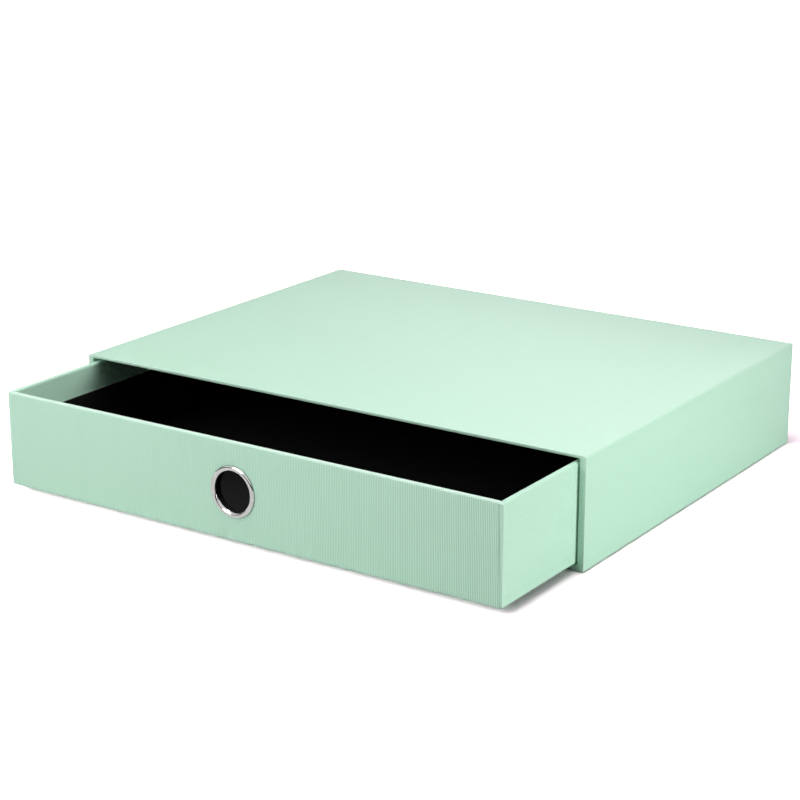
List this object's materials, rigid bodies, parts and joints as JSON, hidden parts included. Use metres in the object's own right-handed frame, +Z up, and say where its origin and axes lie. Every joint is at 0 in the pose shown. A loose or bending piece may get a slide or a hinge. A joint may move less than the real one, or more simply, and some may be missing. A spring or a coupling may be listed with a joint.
{
  "type": "file box with drawer",
  "caption": "Flat rigid-board file box: a covered casing open at the front, with a wide shallow drawer that slides out by a round metal finger ring.",
  "frame": {"origin": "centre of the casing's underside, on the surface that it stands on", "axes": "+X to the right along the front, +Y towards the back, +Z up; the drawer comes out towards -Y"},
  "size_m": [0.335, 0.3289, 0.0635],
  "materials": {
    "greyboard": "matt grey board, pressed from waste paper",
    "ribbed_paper": "mint green paper with fine embossed ribs, soft satin",
    "dark_paper": "matt black paper",
    "dark_card": "matt black card with pale cut edges",
    "gummed_tape": "brown gummed tape",
    "plated_metal": "bright nickel plate"
  },
  "bodies": {
    "casing": {"casing_floor_board": "greyboard", "casing_top_board": "greyboard", "casing_left_board": "greyboard", "casing_right_board": "greyboard", "casing_back_board": "greyboard", "liner_floor_board": "greyboard", "liner_left_board": "greyboard", "liner_right_board": "greyboard", "casing_cover": "ribbed_paper", "casing_base_sheet": "ribbed_paper", "casing_back_sheet": "ribbed_paper", "casing_lining": "dark_paper", "casing_corner_stays": "gummed_tape"},
    "drawer": {"drawer_floor_board": "greyboard", "drawer_front_board": "greyboard", "drawer_back_board": "greyboard", "drawer_left_board": "greyboard", "drawer_right_board": "greyboard", "drawer_cover": "ribbed_paper", "drawer_lining": "dark_card", "drawer_corner_stays": "gummed_tape", "finger_ring": "plated_metal", "ring_washer": "plated_metal"}
  },
  "joints": [
    {"name": "drawer_slide", "type": "slide", "parent": "casing", "child": "drawer", "axis": [0, -1, 0], "range_m": [-0.0725, 0.1525]}
  ]
}
